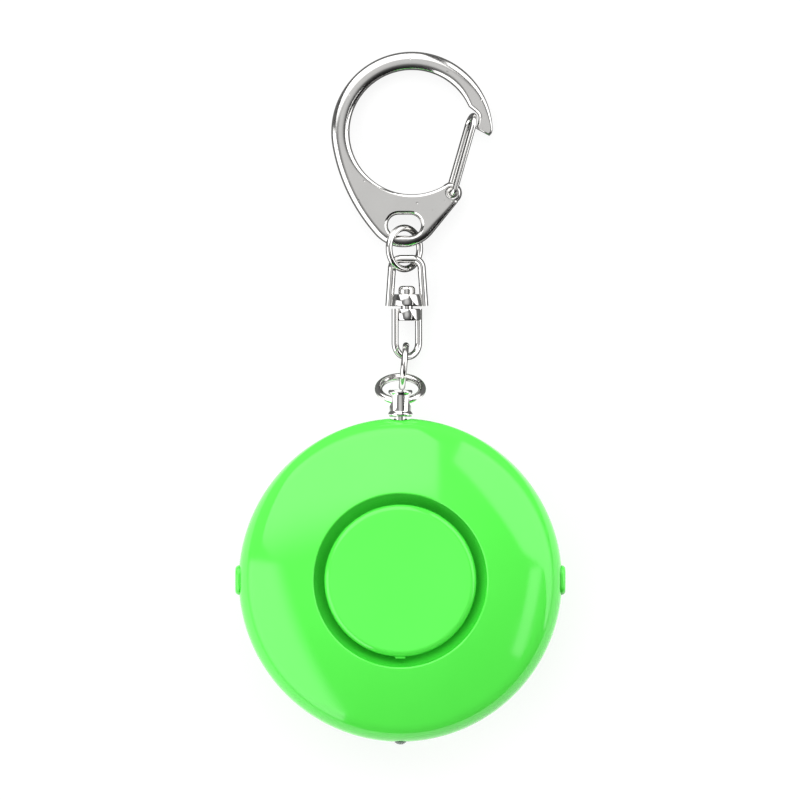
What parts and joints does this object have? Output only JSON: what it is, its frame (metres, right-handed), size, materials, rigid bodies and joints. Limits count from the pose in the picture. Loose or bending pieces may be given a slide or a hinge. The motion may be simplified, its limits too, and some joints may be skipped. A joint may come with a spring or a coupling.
{
  "type": "personal safety alarm",
  "caption": "Round palm-size personal alarm with a siren groove, side buttons and a pull pin on a swivel chain with a snap hook.",
  "frame": {"origin": "centre of the round housing on the flat of its base, which rests on the table", "axes": "+Z out of the siren face, +Y along the chain towards the clip, +X towards the right button"},
  "size_m": [0.0612, 0.1286, 0.0198],
  "materials": {
    "green_abs": "glossy moulded ABS",
    "chrome": "polished nickel plating",
    "steel": "zinc-plated steel",
    "nickel_spring": "nickel-plated spring strip",
    "board": "green solder mask",
    "black_epoxy": "moulded epoxy",
    "capacitor_can": "aluminium can",
    "ferrite": "sintered ferrite",
    "copper_wire": "enamelled copper wire",
    "sounder_brass": "rolled brass",
    "ceramic": "silvered ceramic",
    "red_wire": "PVC insulation",
    "black_wire": "PVC insulation",
    "white_nylon": "moulded nylon",
    "clear_lens": "clear epoxy lens",
    "black_acetal": "moulded acetal"
  },
  "bodies": {
    "housing": {"front_shell": "green_abs", "siren_cap": "green_abs", "rear_shell": "green_abs", "housing_screws": "steel", "circuit_board": "board", "board_screws": "steel", "alarm_chip": "black_epoxy", "driver_transistor": "black_epoxy", "filter_capacitor": "capacitor_can", "coil_core": "ferrite", "coil_winding": "copper_wire", "piezo_plate": "sounder_brass", "piezo_ceramic": "ceramic", "piezo_lead_plus": "red_wire", "piezo_lead_minus": "black_wire", "battery_cell_1": "steel", "battery_cell_2": "steel", "battery_cell_3": "steel", "cell_link_rear": "nickel_spring", "cell_link_front": "nickel_spring", "cell_contact_plus": "nickel_spring", "cell_contact_minus": "nickel_spring", "left_switch": "black_epoxy", "right_switch": "black_epoxy", "torch_led": "clear_lens", "led_leads": "steel", "pin_guide": "black_acetal", "pin_contact_left": "nickel_spring", "pin_contact_right": "nickel_spring"},
    "left_button": {"left_button": "green_abs", "left_plunger": "white_nylon"},
    "right_button": {"right_button": "green_abs", "right_plunger": "white_nylon"},
    "pull_pin": {"pull_pin": "chrome", "pin_ferrule": "chrome"},
    "pin_ring": {"pin_ring": "chrome"},
    "link_ring": {"link_ring": "chrome"},
    "swivel_eye": {"swivel_eye": "chrome", "swivel_rivet": "chrome"},
    "swivel_bail": {"swivel_bail": "chrome"},
    "clip_ring": {"clip_ring": "chrome"},
    "clip_body": {"clip_body": "chrome"},
    "clip_gate": {"clip_gate": "chrome"}
  },
  "joints": [
    {"name": "left_button_press", "type": "slide", "parent": "housing", "child": "left_button", "axis": [1, 0, 0], "range_m": [0, 0.0004], "stiffness_N_per_m": 1500},
    {"name": "right_button_press", "type": "slide", "parent": "housing", "child": "right_button", "axis": [-1, 0, 0], "range_m": [0, 0.0004], "stiffness_N_per_m": 1500},
    {"name": "pin_pull", "type": "slide", "parent": "housing", "child": "pull_pin", "axis": [0, 1, 0], "range_m": [0, 0.0165]},
    {"name": "pin_ring_swing", "type": "hinge", "parent": "pull_pin", "child": "pin_ring", "pos_m": [0, 0.0334, 0.011], "axis": [1, 0, 0], "range_deg": [-20, 110]},
    {"name": "link_ring_swing", "type": "hinge", "parent": "pin_ring", "child": "link_ring", "pos_m": [0, 0.03766, 0.00454], "axis": [1, 0, 0], "range_deg": [-70, 55]},
    {"name": "swivel_eye_swing", "type": "hinge", "parent": "link_ring", "child": "swivel_eye", "pos_m": [0.00105, 0.04349, 0.0045], "axis": [0, 0, 1], "range_deg": [-15, 60]},
    {"name": "swivel_turn", "type": "hinge", "parent": "swivel_eye", "child": "swivel_bail", "pos_m": [0.0012, 0.05082, 0.00315], "axis": [0, 1, 0], "continuous": true},
    {"name": "clip_ring_swing", "type": "hinge", "parent": "swivel_bail", "child": "clip_ring", "pos_m": [0.0012, 0.05957, 0.00315], "axis": [1, 0, 0], "range_deg": [-44, 8]},
    {"name": "clip_swing", "type": "hinge", "parent": "clip_ring", "child": "clip_body", "pos_m": [0.00075, 0.0628, 0.00336], "axis": [1, 0, 0], "range_deg": [-30, 20]},
    {"name": "gate_open", "type": "hinge", "parent": "clip_body", "child": "clip_gate", "pos_m": [0.00944, 0.07183, 0.00292], "axis": [0.2488, -0.024, 0.9683], "range_deg": [0, 35], "stiffness_Nm_per_rad": 0.02, "springref_deg": -11.46}
  ]
}
